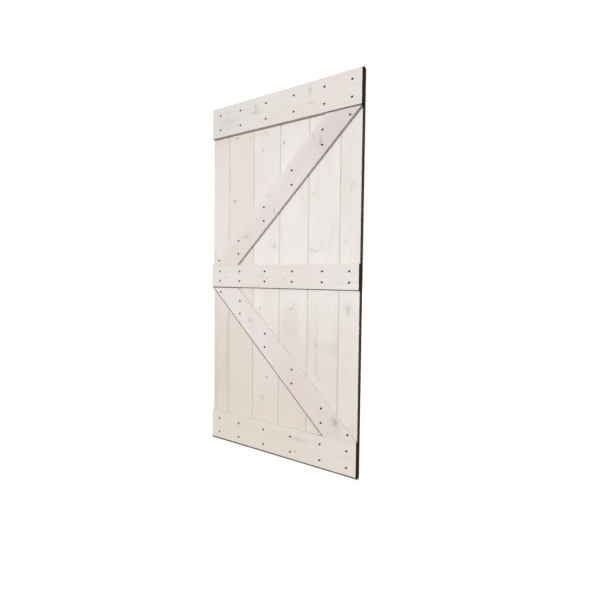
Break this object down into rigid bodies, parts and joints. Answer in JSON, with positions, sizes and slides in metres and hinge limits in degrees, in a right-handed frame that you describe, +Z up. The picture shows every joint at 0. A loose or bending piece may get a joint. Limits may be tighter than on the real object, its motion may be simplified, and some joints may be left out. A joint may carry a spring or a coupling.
{
  "type": "sliding barn door slab",
  "caption": "Barn door slab of tongue-and-groove pine planks behind a screwed frame of rails and diagonal braces that meet in a K, for hanging on a sliding track.",
  "frame": {"origin": "middle of the bottom edge: bottom centre of the box round the whole slab", "axes": "+Z up, +X across the width to the right as seen from the front, front with rails and braces faces -Y, plain planked back faces +Y"},
  "size_m": [0.9144, 0.0382, 2.1336],
  "materials": {
    "plank_1": "matte whitewash over knotty pine, dark brown long edges",
    "plank_2": "matte whitewash over knotty pine, dark brown long edges",
    "plank_3": "matte whitewash over knotty pine, dark brown long edges",
    "plank_4": "matte whitewash over knotty pine, dark brown long edges",
    "plank_5": "matte whitewash over knotty pine, dark brown long edges",
    "plank_6": "matte whitewash over knotty pine, dark brown long edges",
    "top_rail": "matte whitewash over knotty pine, dark brown long edges",
    "middle_rail": "matte whitewash over knotty pine, dark brown long edges",
    "bottom_rail": "matte whitewash over knotty pine, dark brown long edges",
    "upper_brace": "matte whitewash over knotty pine, dark brown long edges",
    "lower_brace": "matte whitewash over knotty pine, dark brown long edges",
    "screws": "black phosphate, satin"
  },
  "bodies": {
    "root": {"plank_1": "plank_1", "plank_2": "plank_2", "plank_3": "plank_3", "plank_4": "plank_4", "plank_5": "plank_5", "plank_6": "plank_6", "top_rail": "top_rail", "middle_rail": "middle_rail", "bottom_rail": "bottom_rail", "upper_brace": "upper_brace", "lower_brace": "lower_brace", "top_rail_screws": "screws", "middle_rail_screws": "screws", "bottom_rail_screws": "screws", "upper_brace_screws": "screws", "lower_brace_screws": "screws"}
  },
  "joints": []
}
